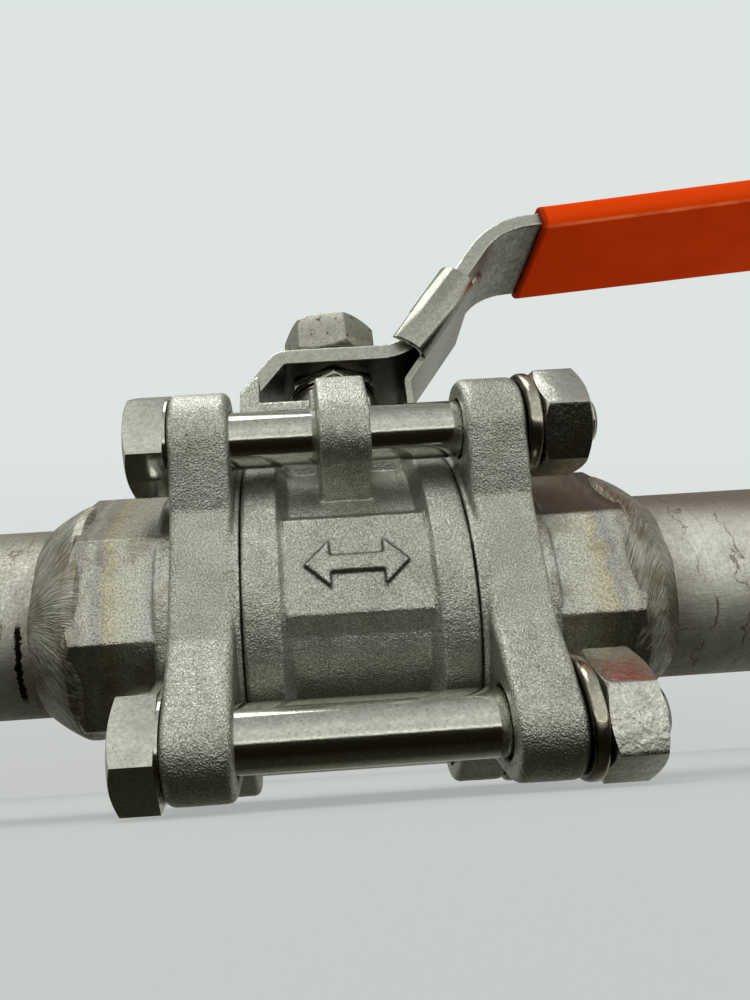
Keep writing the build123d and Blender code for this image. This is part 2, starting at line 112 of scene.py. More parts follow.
# ------------------------------------------------------------------ geometry
def value_noise(points, size, seed):
    """Smooth random field from -1 to 1 with lumps about size across."""
    p = points / size
    base = np.floor(p).astype(np.int64)
    f = p - base
    f = f * f * (3 - 2 * f)
    total = np.zeros(len(points))
    for corner in itertools.product((0, 1), repeat=3):
        q = base + np.array(corner)
        h = np.full(len(points), seed * 9973)
        for axis, prime in enumerate(HASH_AXES):
            h ^= q[:, axis] * prime
        h = (h * 2654435761) & 0xFFFFFFFF
        h = ((h ^ (h >> 15)) * 2246822519) & 0xFFFFFFFF
        value = ((h >> 8) & 0xFFFF) / 32767.5 - 1
        weight = np.ones(len(points))
        for axis in range(3):
            weight *= f[:, axis] if corner[axis] else 1 - f[:, axis]
        total += value * weight
    return total


def arrays(mesh):
    """Vertex places, vertex normals and edges of a mesh as arrays."""
    n = len(mesh.vertices)
    co = np.empty(n * 3)
    mesh.vertices.foreach_get("co", co)
    normal = np.empty(n * 3, np.float32)
    mesh.vertex_normals.foreach_get("vector", normal)
    edges = np.empty(len(mesh.edges) * 2, np.int32)
    mesh.edges.foreach_get("vertices", edges)
    return co.reshape(-1, 3), normal.reshape(-1, 3).astype(float), edges.reshape(-1, 2)


def neighbour_mean(values, edges):
    """Mean of each vertex's neighbours, for a column or three."""
    n = len(values)
    a, b = edges[:, 0], edges[:, 1]
    count = np.bincount(a, minlength=n) + np.bincount(b, minlength=n)
    columns = values.reshape(n, -1)
    out = np.empty_like(columns)
    for k in range(columns.shape[1]):
        out[:, k] = np.bincount(a, columns[b, k], n) + np.bincount(b, columns[a, k], n)
    out /= np.maximum(count, 1)[:, None]
    return out.reshape(values.shape)


def add_field(mesh, name, values):
    """Stores one number a vertex for the materials to read."""
    field = mesh.attributes.new(name, "FLOAT", "POINT")
    field.data.foreach_set("value", np.asarray(values, np.float32))


def add_corner_bulge(mesh, spread):
    """Marks outer corners above 0 and inner corners below, a few vertices wide."""
    co, normal, edges = arrays(mesh)
    bulge = -np.einsum("ij,ij->i", neighbour_mean(co, edges) - co, normal) / MM
    for _ in range(spread):
        bulge = 0.5 * bulge + 0.5 * neighbour_mean(bulge, edges)
    add_field(mesh, "corner_bulge", bulge)


def skin_of(node, voxel, rounds):
    """Copy of a CAD node as one even skin with its edges rounded."""
    lump = bpy.data.objects.new("lump", nodes[node].data.copy())
    bpy.context.scene.collection.objects.link(lump)
    remesh = lump.modifiers.new("skin", "REMESH")
    remesh.mode = "VOXEL"
    remesh.voxel_size = voxel * MM
    smooth = lump.modifiers.new("round", "SMOOTH")
    smooth.factor = 0.5
    smooth.iterations = rounds
    graph = bpy.context.evaluated_depsgraph_get()
    mesh = bpy.data.meshes.new_from_object(lump.evaluated_get(graph))
    bpy.data.objects.remove(lump)
    mesh.materials.clear()
    return mesh


def push(mesh, amounts):
    """Moves each vertex along its normal, in millimetres."""
    co, normal, _ = arrays(mesh)
    co += normal * (np.asarray(amounts) * MM)[:, None]
    mesh.vertices.foreach_set("co", co.ravel())
    mesh.update()


def bevelled_copy(node, width):
    """Copy of a CAD node with clean flat faces and every sharp edge eased."""
    mesh = nodes[node].data.copy()
    bm = bmesh.new()
    bm.from_mesh(mesh)
    bmesh.ops.remove_doubles(bm, verts=bm.verts, dist=MERGE_WITHIN)
    bmesh.ops.dissolve_limit(
        bm, angle_limit=math.radians(FLAT_ANGLE), verts=bm.verts, edges=bm.edges
    )
    limit = math.radians(CORNER_ANGLE)
    corners = [
        e for e in bm.edges
        if len(e.link_faces) == 2 and e.calc_face_angle(0) > limit
    ]
    bmesh.ops.bevel(
        bm, geom=corners, offset=width * MM, offset_type="OFFSET",
        segments=BEVEL_STEPS, profile=0.5, affect="EDGES", clamp_overlap=True,
    )
    bmesh.ops.triangulate(bm, faces=bm.faces)
    bm.to_mesh(mesh)
    bm.free()
    mesh.materials.clear()
    return mesh


def soft_shade(mesh, sharp):
    """Smooth shading that breaks at corners sharper than so many degrees."""
    for name in [a.name for a in mesh.attributes if a.name in ("custom_normal", "sharp_edge")]:
        mesh.attributes.remove(mesh.attributes[name])
    mesh.shade_smooth()
    if sharp < ALL_SMOOTH:
        mesh.set_sharp_from_angle(angle=math.radians(sharp))


def grid_mesh(name, rows):
    """Skin over rows of points that each go once round, open at both ends."""
    count = len(rows[0])
    points = np.concatenate(rows)
    faces = []
    for i in range(len(rows) - 1):
        for j in range(count):
            k = (j + 1) % count
            faces.append(
                (i * count + j, i * count + k, (i + 1) * count + k, (i + 1) * count + j)
            )
    mesh = bpy.data.meshes.new(name)
    mesh.from_pydata([tuple(p) for p in points], [], faces)
    bm = bmesh.new()
    bm.from_mesh(mesh)
    bmesh.ops.recalc_face_normals(bm, faces=bm.faces)
    bm.to_mesh(mesh)
    bm.free()
    return mesh


def place(name, mesh, node, paint):
    """Shows a piece in the place of its CAD node, on the same body."""
    piece = bpy.data.objects.new(name, mesh)
    bpy.context.scene.collection.objects.link(piece)
    mesh.materials.clear()
    mesh.materials.append(paint)
    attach(piece, nodes[node]["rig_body"])
    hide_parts(node)


# ----------------------------------------------------------------- materials
class Paint:
    """A node material on the Principled shader, in object millimetres."""

    def __init__(self, name, **fixed):
        self.material = bpy.data.materials.new(name)
        self.material.use_nodes = True
        self.tree = self.material.node_tree
        self.shader = self.tree.nodes["Principled BSDF"]
        for socket, value in fixed.items():
            self.shader.inputs[socket.replace("_", " ")].default_value = value
        place_node = self.tree.nodes.new("ShaderNodeTexCoord")
        self.where = self.maths3("SCALE", place_node.outputs["Object"], scale=1000.0)

    def node(self, kind, settings=(), **inputs):
        made = self.tree.nodes.new(kind)
        for key, value in settings:
            setattr(made, key, value)
        for key, value in inputs.items():
            self.feed(made.inputs[key], value)
        return made

    def feed(self, socket, value):
        if isinstance(value, bpy.types.NodeSocket):
            self.tree.links.new(value, socket)
        else:
            socket.default_value = value

    def feed_colour(self, socket, value):
        """Feeds a link or a number as it is, and a tuple as an opaque colour."""
        self.feed(socket, (*value, 1.0) if isinstance(value, tuple) else value)

    def maths(self, operation, *values):
        made = self.tree.nodes.new("ShaderNodeMath")
        made.operation = operation
        for socket, value in zip(made.inputs, values):
            self.feed(socket, value)
        return made.outputs[0]

    def maths3(self, operation, a, b=None, scale=None):
        made = self.tree.nodes.new("ShaderNodeVectorMath")
        made.operation = operation
        self.feed(made.inputs[0], a)
        if b is not None:
            self.feed(made.inputs[1], b)
        if scale is not None:
            made.inputs["Scale"].default_value = scale
        return made.outputs[0]

    def noise(self, size, detail=3.0, rough=0.55, stretch=(1, 1, 1), offset=0.0):
        """0 to 1 noise with lumps about size mm, longer along the stretched axes."""
        factor = tuple(1 / (size * s) for s in stretch)
        spot = self.maths3("MULTIPLY", self.where, factor)
        spot = self.maths3("ADD", spot, (offset, offset * 1.7, offset * 0.6))
        return self.node(
            "ShaderNodeTexNoise",
            Vector=spot, Scale=1.0, Detail=detail, Roughness=rough,
        ).outputs["Fac"]

    def cells(self, size):
        """Distance to the nearest of points scattered about size mm apart."""
        spot = self.maths3("MULTIPLY", self.where, (1 / size,) * 3)
        return self.node("ShaderNodeTexVoronoi", Vector=spot, Scale=1.0).outputs["Distance"]

    def field(self, name):
        made = self.tree.nodes.new("ShaderNodeAttribute")
        made.attribute_name = name
        return made.outputs["Fac"]

    def axes(self):
        """x, y and z in the valve's millimetres."""
        return self.node("ShaderNodeSeparateXYZ", Vector=self.where).outputs[0:3]

    def normal_axes(self):
        """The surface's own direction, in the object's axes."""
        source = self.tree.nodes.new("ShaderNodeTexCoord").outputs["Normal"]
        return self.node("ShaderNodeSeparateXYZ", Vector=source).outputs

    def band(self, value, low, high, new_low=0.0, new_high=1.0, smooth=True):
        """Maps low..high to new_low..new_high and holds outside."""
        made = self.node(
            "ShaderNodeMapRange",
            settings=(("interpolation_type", "SMOOTHSTEP" if smooth else "LINEAR"),),
        )
        for key, entry in zip(
            ("Value", "From Min", "From Max", "To Min", "To Max"),
            (value, low, high, new_low, new_high),
        ):
            self.feed(made.inputs[key], entry)
        return made.outputs[0]

    def window(self, value, centre, half, soft):
        """1 near centre, falling to 0 outside half, over soft."""
        away = self.maths("ABSOLUTE", self.maths("SUBTRACT", value, centre))
        return self.band(away, half, half + soft, 1.0, 0.0)

    def mix(self, factor, a, b, blend="MIX"):
        made = self.node("ShaderNodeMix", settings=(("data_type", "RGBA"), ("blend_type", blend)))
        self.feed(made.inputs["Factor"], factor)
        for socket, value in ((made.inputs[6], a), (made.inputs[7], b)):
            self.feed_colour(socket, value)
        return made.outputs[2]

    def coat(self, base, mask, strength, colour):
        """Lays a colour over base where mask is 1, as thickly as strength says."""
        return self.mix(self.maths("MULTIPLY", mask, strength), base, colour)

    def tint(self, amount, base, colour):
        """Multiplies base by a colour, by so much."""
        return self.mix(amount, base, self.mix(1.0, base, colour, "MULTIPLY"))

    def ramp(self, value, stops):
        made = self.tree.nodes.new("ShaderNodeValToRGB")
        self.feed(made.inputs["Fac"], value)
        points = made.color_ramp.elements
        while len(points) < len(stops):
            points.new(0.5)
        for point, (place_at, colour) in zip(points, stops):
            point.position = place_at
            point.color = (*colour, 1.0)
        return made.outputs["Color"]

    def bump(self, height, distance, under=None):
        """Relief of so many millimetres, on top of another if given."""
        made = self.node("ShaderNodeBump", Distance=distance * MM, Height=height)
        if under is not None:
            self.tree.links.new(under, made.inputs["Normal"])
        return made.outputs["Normal"]

    def finish(self, colour=None, rough=None, normal=None):
        for key, value in (("Base Color", colour), ("Roughness", rough), ("Normal", normal)):
            if value is not None:
                self.feed_colour(self.shader.inputs[key], value)
        return self.material


GRIT = [(0.30, (0.25, 0.255, 0.21)), (0.48, (0.47, 0.475, 0.415)), (0.70, (0.86, 0.865, 0.79))]


def cast_look(p, seed):
    """Bead-blasted casting: fine speckle, rubbed edges lighter partly as painted highlight, and
    painted shade with dirt in inner corners.
    """
    speck = p.noise(0.27, detail=2.0, rough=0.8)
    patch = p.noise(6.0, detail=5.0, rough=0.6, offset=seed)
    corner_bulge = p.field("corner_bulge")
    base = p.ramp(speck, GRIT)
    base = p.tint(p.band(patch, 0.38, 0.66, 0.0, 0.45), base, (0.62, 0.625, 0.58))
    # rubbed edges: lighter from rubbing and, in part, as painted highlight
    edge = p.band(p.maths("ADD", corner_bulge, p.band(speck, 0.3, 0.7, -0.012, 0.012)), 0.012, 0.04)
    # painted shade with dirt: inner corners darkened by how hollow the surface is
    corner_shade_and_dirt = p.band(corner_bulge, -0.035, -0.007, 1.0, 0.0)
    return speck, patch, edge, corner_shade_and_dirt, base


def cast_relief(p, rough, edge):
    """Smoother worn edges, and a fine blasted grain over a coarser one."""
    rough = p.maths("SUBTRACT", rough, p.maths("MULTIPLY", edge, 0.1))
    coarse = p.bump(p.noise(1.0, detail=1.0, offset=7.7), 0.05)
    return rough, p.bump(p.noise(0.30, detail=1.0, rough=0.6, offset=1.3), 0.13, under=coarse)


def cast_paint():
    """Centre body, with scattered small pits."""
    p = Paint("cast_stainless", Metallic=1.0)
    speck, patch, edge, corner_shade_and_dirt, base = cast_look(p, 3.1)
    # lighter rubbed edges, partly painted highlight
    base = p.coat(base, edge, 0.6, WORN_AND_HIGHLIT)
    # painted shade with dirt in the inner corners
    base = p.coat(base, corner_shade_and_dirt, 0.65, (0.11, 0.105, 0.08))
    # painted shade round the foot of the raised arrow
    base = p.coat(base, p.field("arrow_foot_shade"), 0.75, (0.07, 0.065, 0.05))
    pits = p.band(p.cells(2.6), 0.05, 0.11, 1.0, 0.0)
    base = p.coat(base, pits, p.band(patch, 0.5, 0.62), (0.09, 0.08, 0.06))
    rough, relief = cast_relief(p, p.band(speck, 0.25, 0.75, 0.54, 0.36), edge)
    return p.finish(base, rough, relief)


def hub_tint(p, base):
    """Faint straw and blue bands that the weld's heat left round both hubs."""
    x = p.maths("ABSOLUTE", p.axes()[0])
    wave = p.band(p.noise(5.0, detail=3.0, offset=9.2), 0.3, 0.7, -0.8, 0.8)
    at = p.maths("ADD", x, wave)
    tint = p.ramp(
        p.band(at, 31.0, 46.0, smooth=False),
        [
            (0.0, (0.95, 0.94, 0.90)), (0.08, (0.80, 0.84, 0.90)), (0.20, (0.96, 0.96, 0.94)),
            (0.46, (0.95, 0.94, 0.88)), (0.58, (0.93, 0.84, 0.68)), (0.66, (0.74, 0.69, 0.66)),
            (0.72, (0.66, 0.67, 0.73)), (0.80, (0.90, 0.89, 0.85)), (0.90, (0.56, 0.54, 0.56)),
            (1.0, (0.70, 0.66, 0.60)),
        ],
    )
    amount = p.band(x, 30.4, 31.2, 0.0, 0.9)
    return p.tint(amount, base, tint)


def cap_paint():
    """The casting's finish, with stained and heat-tinted weld hubs."""
    p = Paint("cast_cap", Metallic=1.0)
    speck, _, edge, corner_shade_and_dirt, base = cast_look(p, 5.4)
    x, _, z = p.axes()
    hub = p.band(p.maths("ABSOLUTE", x), HUB_FACE, HUB_FACE + 0.5)
    hub_base = p.ramp(
        p.noise(0.32, detail=3.0, rough=0.75, offset=2.0),
        [(0.32, (0.27, 0.265, 0.215)), (0.66, (0.92, 0.915, 0.82))],
    )
    base = p.mix(hub, base, hub_base)
    # lighter rubbed edges, partly painted highlight
    base = p.coat(base, edge, 0.6, WORN_AND_HIGHLIT)
    # painted shade with dirt in the inner corners
    base = p.coat(base, corner_shade_and_dirt, 0.7, (0.11, 0.10, 0.075))
    stain = p.band(p.noise(7.0, detail=5.0, rough=0.65, offset=21.0), 0.48, 0.7)
    base = p.coat(base, p.maths("MULTIPLY", stain, hub), 0.6, (0.23, 0.19, 0.14))
    # painted shade: the hubs' upper facets darkened brown-grey
    top_shade = p.maths("MULTIPLY", p.band(z, 7.6, 9.0), hub)
    base = p.coat(base, top_shade, 0.85, (0.16, 0.15, 0.115))
    base = hub_tint(p, base)
    rough = p.band(speck, 0.25, 0.75, 0.54, 0.36)
    rough = p.mix(hub, rough, p.band(speck, 0.25, 0.75, 0.48, 0.34))
    rough, relief = cast_relief(p, rough, edge)
    return p.finish(base, rough, relief)


def weld_paint():
    """Rippled weld metal: fine strands along each ripple, brown scale in patches."""
    p = Paint("weld_metal", Metallic=1.0)
    # patches and grain lie in object space, the strands follow the bead as laid
    patch = p.noise(5.0, detail=5.0, rough=0.6, offset=4.0)
    fine = p.bump(p.noise(0.35, detail=2.0, offset=6.1), 0.03)
    rough = p.band(p.noise(0.8, offset=2.2), 0.3, 0.7, 0.34, 0.50)
    p.where = p.node("ShaderNodeCombineXYZ", X=p.field("lay"), Y=p.field("across")).outputs[0]
    strand = p.maths("ADD", p.noise(0.55, detail=2.0), p.noise(0.20, detail=1.0, offset=3.0))
    strand = p.maths("MULTIPLY", strand, 0.5)
    base = p.ramp(
        strand,
        [(0.36, (0.22, 0.21, 0.17)), (0.5, (0.37, 0.36, 0.305)), (0.64, (0.60, 0.59, 0.52))],
    )
    base = p.tint(p.band(patch, 0.42, 0.66, 0.0, 0.8), base, (0.66, 0.58, 0.47))
    return p.finish(base, rough, p.bump(strand, 0.22, under=fine))


def pipe_paint():
    """Pickled pipe: matt grey-beige, thin brown tide lines, a few scratches."""
    p = Paint("pipe_steel", Metallic=1.0)
    x, y, z = p.axes()
    speck = p.noise(0.5, detail=3.0, rough=0.7)
    cloud = p.noise(8.0, detail=5.0, rough=0.6, offset=2.0)
    round_ = p.noise(0.8, detail=3.0, stretch=(1, 9, 9), offset=6.0)
    # painted light: the right pipe takes a lighter copy of the left one's tone
    left_tone = p.ramp(speck, [(0.3, (0.55, 0.545, 0.475)), (0.7, (0.92, 0.915, 0.83))])
    right_lit_tone = p.ramp(speck, [(0.3, (0.74, 0.735, 0.66)), (0.7, (1.0, 0.995, 0.92))])
    base = p.mix(p.band(x, -1.0, 1.0), left_tone, right_lit_tone)
    base = p.mix(p.band(cloud, 0.4, 0.7, 0.0, 0.45), base, (0.45, 0.425, 0.345))
    base = p.mix(p.band(round_, 0.5, 0.72, 0.0, 0.3), base, (0.42, 0.395, 0.32))
    wander = p.band(p.noise(8.0, detail=4.0, offset=12.0), 0.3, 0.7, -2.2, 2.2)
    at = p.maths("ADD", p.maths("ABSOLUTE", x), wander)
    for centre, strength in ((57.6, 0.75), (65.0, 0.7), (81.0, 0.4)):
        line = p.window(at, centre, 0.03, 0.28)
        broken = p.band(p.noise(4.0, offset=centre), 0.40, 0.56)
        base = p.coat(base, p.maths("MULTIPLY", line, broken), strength, (0.17, 0.11, 0.07))
    # heat scale next to each weld, and painted shade along the top
    scale = p.band(p.maths("ABSOLUTE", x), 52.0, 60.0, 0.5, 0.0)
    base = p.coat(base, scale, p.band(cloud, 0.3, 0.6), (0.26, 0.225, 0.17))
    top_shade = p.band(z, 4.0, 13.0, 0.0, 0.85)
    base = p.mix(top_shade, base, (0.20, 0.18, 0.14))
    # a ragged dark dash beside the left weld, on the front
    slope = p.maths("ADD", x, p.maths("MULTIPLY", z, -0.05))
    ragged = p.band(p.noise(1.1, detail=4.0, rough=0.7, offset=8.0), 0.3, 0.7, -0.28, 0.28)
    dash = p.window(p.maths("ADD", slope, ragged), -54.75, 0.42, 0.2)
    dash = p.maths("MULTIPLY", dash, p.window(z, -9.2, 4.8, 1.2))
    dash = p.maths("MULTIPLY", dash, p.band(y, -2.0, -4.0))
    base = p.mix(dash, base, (0.018, 0.012, 0.008))
    rough = p.band(speck, 0.3, 0.7, 0.72, 0.56)
    soft = p.bump(p.noise(7.0, detail=2.0, offset=1.0), 0.12)
    scratch = p.bump(p.noise(0.4, detail=3.0, stretch=(5, 1, 1), offset=3.0), 0.05, under=soft)
    return p.finish(base, rough, scratch)


def steel_paint(name, tone, low, high, speck=0.0, scratch=0.012, lines=(1, 1, 1), lines_size=0.4,
                relief=0.02, rust=0.0, thread_from=None, smear=0.65, joint=0.0):
    """Machined or cold-formed steel with grain and smears.

    speck adds dark dots and rust adds brown spots; joint darkens faces square to x, where stacked
    springs meet; thread_from cuts a thread along x from there on.
    """
    p = Paint(name, Metallic=1.0)
    grain = p.noise(lines_size, detail=4.0, rough=0.65, stretch=lines)
    cloud = p.noise(3.0, detail=5.0, rough=0.65, offset=5.0)
    dark = tuple(c * 0.70 for c in tone)
    light = tuple(min(1.0, c * 1.16) for c in tone)
    base = p.ramp(grain, [(0.3, dark), (0.68, light)])
    base = p.mix(p.band(cloud, 0.42, 0.70, 0.0, smear), base, tuple(c * 0.62 for c in tone))
    if speck:
        dots = p.band(p.cells(0.8), 0.08, 0.2, 1.0, 0.0)
        dots = p.maths("MULTIPLY", dots, p.band(p.noise(2.2, offset=14.0), 0.42, 0.56, 0.0, speck))
        base = p.mix(dots, base, (0.05, 0.04, 0.025))
    rough = p.band(grain, 0.3, 0.7, high, low)
    rough = p.maths("ADD", rough, p.band(cloud, 0.4, 0.75, 0.0, 0.15 * smear))
    if rust:
        spots = p.band(p.noise(1.3, detail=4.0, rough=0.7, offset=31.0), 0.58, 0.68, 0.0, rust)
        base = p.mix(spots, base, (0.20, 0.105, 0.035))
        rough = p.maths("ADD", rough, p.maths("MULTIPLY", spots, 0.4))
    if joint:
        side = p.band(p.maths("ABSOLUTE", p.normal_axes()[0]), 0.45, 0.8, 0.0, joint)
        base = p.mix(side, base, (0.035, 0.03, 0.02))
    under = p.bump(p.noise(1.8, detail=2.0, offset=1.0), relief)
    if thread_from is not None:
        x = p.axes()[0]
        cut = p.band(x, thread_from, thread_from + 0.2)
        turn = p.maths("SINE", p.maths("MULTIPLY", x, 2 * math.pi / THREAD_PITCH))
        ridge = p.maths("MULTIPLY", turn, cut)
        # painted shade in the thread's grooves
        base = p.mix(p.band(ridge, 0.2, -0.8, 0.0, 0.8), base, (0.06, 0.05, 0.035))
        under = p.bump(ridge, 0.25, under=under)
    return p.finish(base, rough, p.bump(grain, scratch, under=under))


def lever_paint():
    """Satin sheet: mottled faces, and the sheared edge drawn smooth."""
    p = Paint("lever_sheet", Metallic=1.0)
    side = p.maths("ABSOLUTE", p.normal_axes()[1])
    cut = p.band(side, 0.55, 0.8)
    grain = p.noise(0.5, detail=4.0, rough=0.65, stretch=(1, 3, 1))
    cloud = p.noise(3.0, detail=5.0, rough=0.65, offset=5.0)
    base = p.ramp(grain, [(0.3, (0.33, 0.33, 0.28)), (0.7, (0.58, 0.58, 0.52))])
    base = p.mix(p.band(cloud, 0.40, 0.68, 0.0, 0.65), base, (0.28, 0.265, 0.22))
    speck = p.noise(0.7, detail=3.0, rough=0.6, offset=3.0)
    shear = p.ramp(speck, [(0.3, (0.36, 0.36, 0.31)), (0.7, (0.54, 0.54, 0.48))])
    base = p.mix(cut, base, shear)
    # lighter rubbed edges, partly painted highlight
    edge = p.band(p.field("corner_bulge"), 0.015, 0.05)
    base = p.coat(base, edge, 0.75, (0.88, 0.88, 0.84))
    # painted shade: faces looking down under the saddle, round the stem, are darkened
    facing_down = p.band(p.normal_axes()[2], -0.35, -0.7)
    under = p.maths("MULTIPLY", facing_down, p.window(p.axes()[0], 2.0, 13.0, 6.0))
    base = p.coat(base, under, 0.85, (0.055, 0.05, 0.035))
    rough = p.band(grain, 0.3, 0.7, 0.46, 0.28)
    rough = p.mix(cut, rough, p.band(speck, 0.3, 0.7, 0.42, 0.34))
    soft = p.bump(p.noise(1.6, detail=2.0, offset=1.0), 0.04)
    return p.finish(base, rough, p.bump(speck, 0.02, under=soft))


def vinyl_paint():
    """Dipped orange vinyl with a thin coat, slight waves and scuffs; painted light on the side
    edges, a painted highlight where they turn under, and painted shade at the open end.
    """
    p = Paint("orange_vinyl", Coat_Weight=0.08, Coat_Roughness=0.08, Specular_IOR_Level=0.0)
    x, _, z = p.axes()
    cloud = p.noise(9.0, detail=3.0, offset=2.0)
    base = p.ramp(cloud, [(0.3, (0.60, 0.036, 0.0006)), (0.7, (0.66, 0.045, 0.0008))])
    scuff = p.band(p.noise(0.5, detail=5.0, rough=0.7, stretch=(10, 1, 1), offset=4.0), 0.64, 0.76)
    base = p.coat(base, scuff, 0.2, (0.75, 0.16, 0.05))
    # painted light: paler side edges, with a thin painted highlight where they turn under
    side = p.maths("ABSOLUTE", p.normal_axes()[1])
    base = p.mix(p.band(side, 0.25, 0.75), base, (0.92, 0.064, 0.0016))
    painted_rim_highlight = p.maths("MULTIPLY", p.window(side, 0.50, 0.06, 0.14), p.band(cloud, 0.3, 0.6, 0.3, 1.0))
    base = p.coat(base, painted_rim_highlight, 0.8, (1.0, 0.22, 0.085))
    # painted shadow: the grip darkens towards its open end at the lever
    along = p.maths("ADD", x, p.maths("MULTIPLY", z, 0.087))
    base = p.mix(p.band(along, 54.35, 55.2, 0.6, 0.0), base, (0.16, 0.012, 0.001))
    rough = p.band(p.noise(1.5, detail=3.0, offset=9.0), 0.3, 0.7, 0.24, 0.36)
    waves = p.bump(p.noise(5.0, detail=1.0, offset=3.0), 0.12)
    skin = p.bump(p.noise(0.7, detail=2.0, offset=5.0), 0.012, under=waves)
    return p.finish(base, rough, skin)


def ptfe_paint():
    """White seat plastic with faint marks from the lathe."""
    p = Paint("ptfe", Subsurface_Weight=0.15, Subsurface_Scale=0.001)
    lathe = p.noise(0.5, detail=3.0, stretch=(1, 8, 8))
    base = p.ramp(lathe, [(0.3, (0.80, 0.80, 0.77)), (0.7, (0.90, 0.90, 0.88))])
    return p.finish(base, p.band(lathe, 0.3, 0.7, 0.45, 0.33), p.bump(lathe, 0.01))


cast = cast_paint()
cap = cap_paint()
weld = weld_paint()
pipe = pipe_paint()
shank = steel_paint(
    "bolt_steel", (0.64, 0.64, 0.57), 0.06, 0.11, speck=0.7, scratch=0.006, lines=(1.5, 1, 1),
    relief=0.010, thread_from=THREAD_START, smear=0.4,
)
nut_steel = steel_paint(
    "nut_steel", (0.64, 0.64, 0.57), 0.14, 0.30, speck=0.8, scratch=0.02, relief=0.09,
)
lever_hex_steel = steel_paint(
    "lever_nut_steel", (0.46, 0.455, 0.39), 0.24, 0.42, speck=0.6, relief=0.06, rust=1.0,
)
spring = steel_paint("spring_steel", (0.52, 0.48, 0.39), 0.10, 0.20, lines_size=0.6, joint=0.9)
turned = steel_paint("turned_steel", (0.55, 0.545, 0.48), 0.22, 0.36)
sheet_steel = steel_paint(
    "slide_sheet", (0.42, 0.42, 0.36), 0.16, 0.24, speck=0.5, scratch=0.006, lines_size=0.5,
    relief=0.008, smear=0.3,
)
chrome = steel_paint("ball_chrome", (0.80, 0.80, 0.80), 0.06, 0.12, relief=0.0)
lever_steel = lever_paint()
vinyl = vinyl_paint()
ptfe = ptfe_paint()


# -------------------------------------------------------------- cast pieces
ARROW = [
    (-8.2, 0), (-4.2, 3.6), (-4.2, 1.3), (4.2, 1.3), (4.2, 3.6),
    (8.2, 0), (4.2, -3.6), (4.2, -1.3), (-4.2, -1.3), (-4.2, -3.6),
]


def arrow_foot_shade_mask(at):
    """Mask of painted shade: 1 at the foot of the raised double arrow on the front panel, 0 away
    from it.
    """
    spot = at[:, [0, 2]] - (0, ARROW_HEIGHT)
    nearest = np.full(len(at), 9.0)
    for a, b in zip(np.array(ARROW), np.array(ARROW[1:] + ARROW[:1])):
        span = b - a
        share = np.clip((spot - a) @ span / (span @ span), 0, 1)[:, None]
        nearest = np.minimum(nearest, np.linalg.norm(spot - a - share * span, axis=1))
    return np.where(at[:, 1] < PANEL_FRONT, np.exp(-((nearest / 0.3) ** 2)), 0.0)


def cast_piece(name, node, paint, voxel=0.30):
    """Casting with eased edges, a slightly uneven skin and softer ears."""
    mesh = skin_of(node, voxel, CAST_ROUNDS)
    co, _, edges = arrays(mesh)
    # the centre body's upper ears, which stand clear of it, are rounded more
    x, y, z = co.T
    ears = (np.abs(y) > EAR_OUT * MM) & (z > EAR_UP * MM) & (np.abs(x) < EAR_HALF * MM)
    for _ in range(EAR_ROUNDS):
        co[ears] += 0.5 * (neighbour_mean(co, edges) - co)[ears]
    mesh.vertices.foreach_set("co", co.ravel())
    mesh.update()
    waves = 0.04 * value_noise(co, 3.6 * MM, 5) + 0.02 * value_noise(co, 0.9 * MM, 11)
    push(mesh, waves)
    add_corner_bulge(mesh, 3)
    if node == "center_body":
        add_field(mesh, "arrow_foot_shade", arrow_foot_shade_mask(co / MM))
    soft_shade(mesh, ALL_SMOOTH)
    place(name, mesh, node, paint)


cast_piece("body_casting", "center_body", cast, voxel=0.26)
cast_piece("left_cap_casting", "left_end_cap", cap)
cast_piece("right_cap_casting", "right_end_cap", cap)


